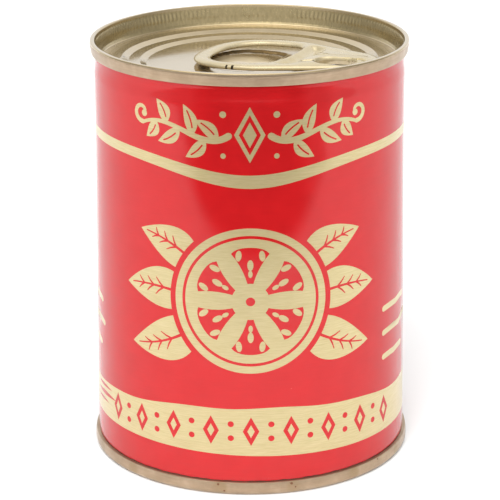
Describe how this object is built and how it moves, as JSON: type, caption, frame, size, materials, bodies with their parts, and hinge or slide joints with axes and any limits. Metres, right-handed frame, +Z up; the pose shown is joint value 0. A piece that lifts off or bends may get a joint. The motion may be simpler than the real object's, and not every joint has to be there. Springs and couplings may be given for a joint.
{
  "type": "tin of tomato paste",
  "caption": "Small sealed round food tin with a seamed bottom and an easy-open end with a riveted pull ring, red body with plain gold bands.",
  "frame": {"origin": "centre of the tin's footprint, on the plane the bottom seam stands on", "axes": "+Z up along the tin's axis, -Y the front of the print; the pull ring's nose points right and towards the front"},
  "size_m": [0.055, 0.055, 0.072],
  "materials": {
    "printed_tinplate": "glossy",
    "lacquered_end": "satin",
    "lacquered_ring": "glossy"
  },
  "bodies": {
    "root": {"can_body": "printed_tinplate", "lid_end": "lacquered_end", "base_end": "lacquered_end", "pull_tab": "lacquered_ring", "rivet": "lacquered_end"}
  },
  "joints": []
}
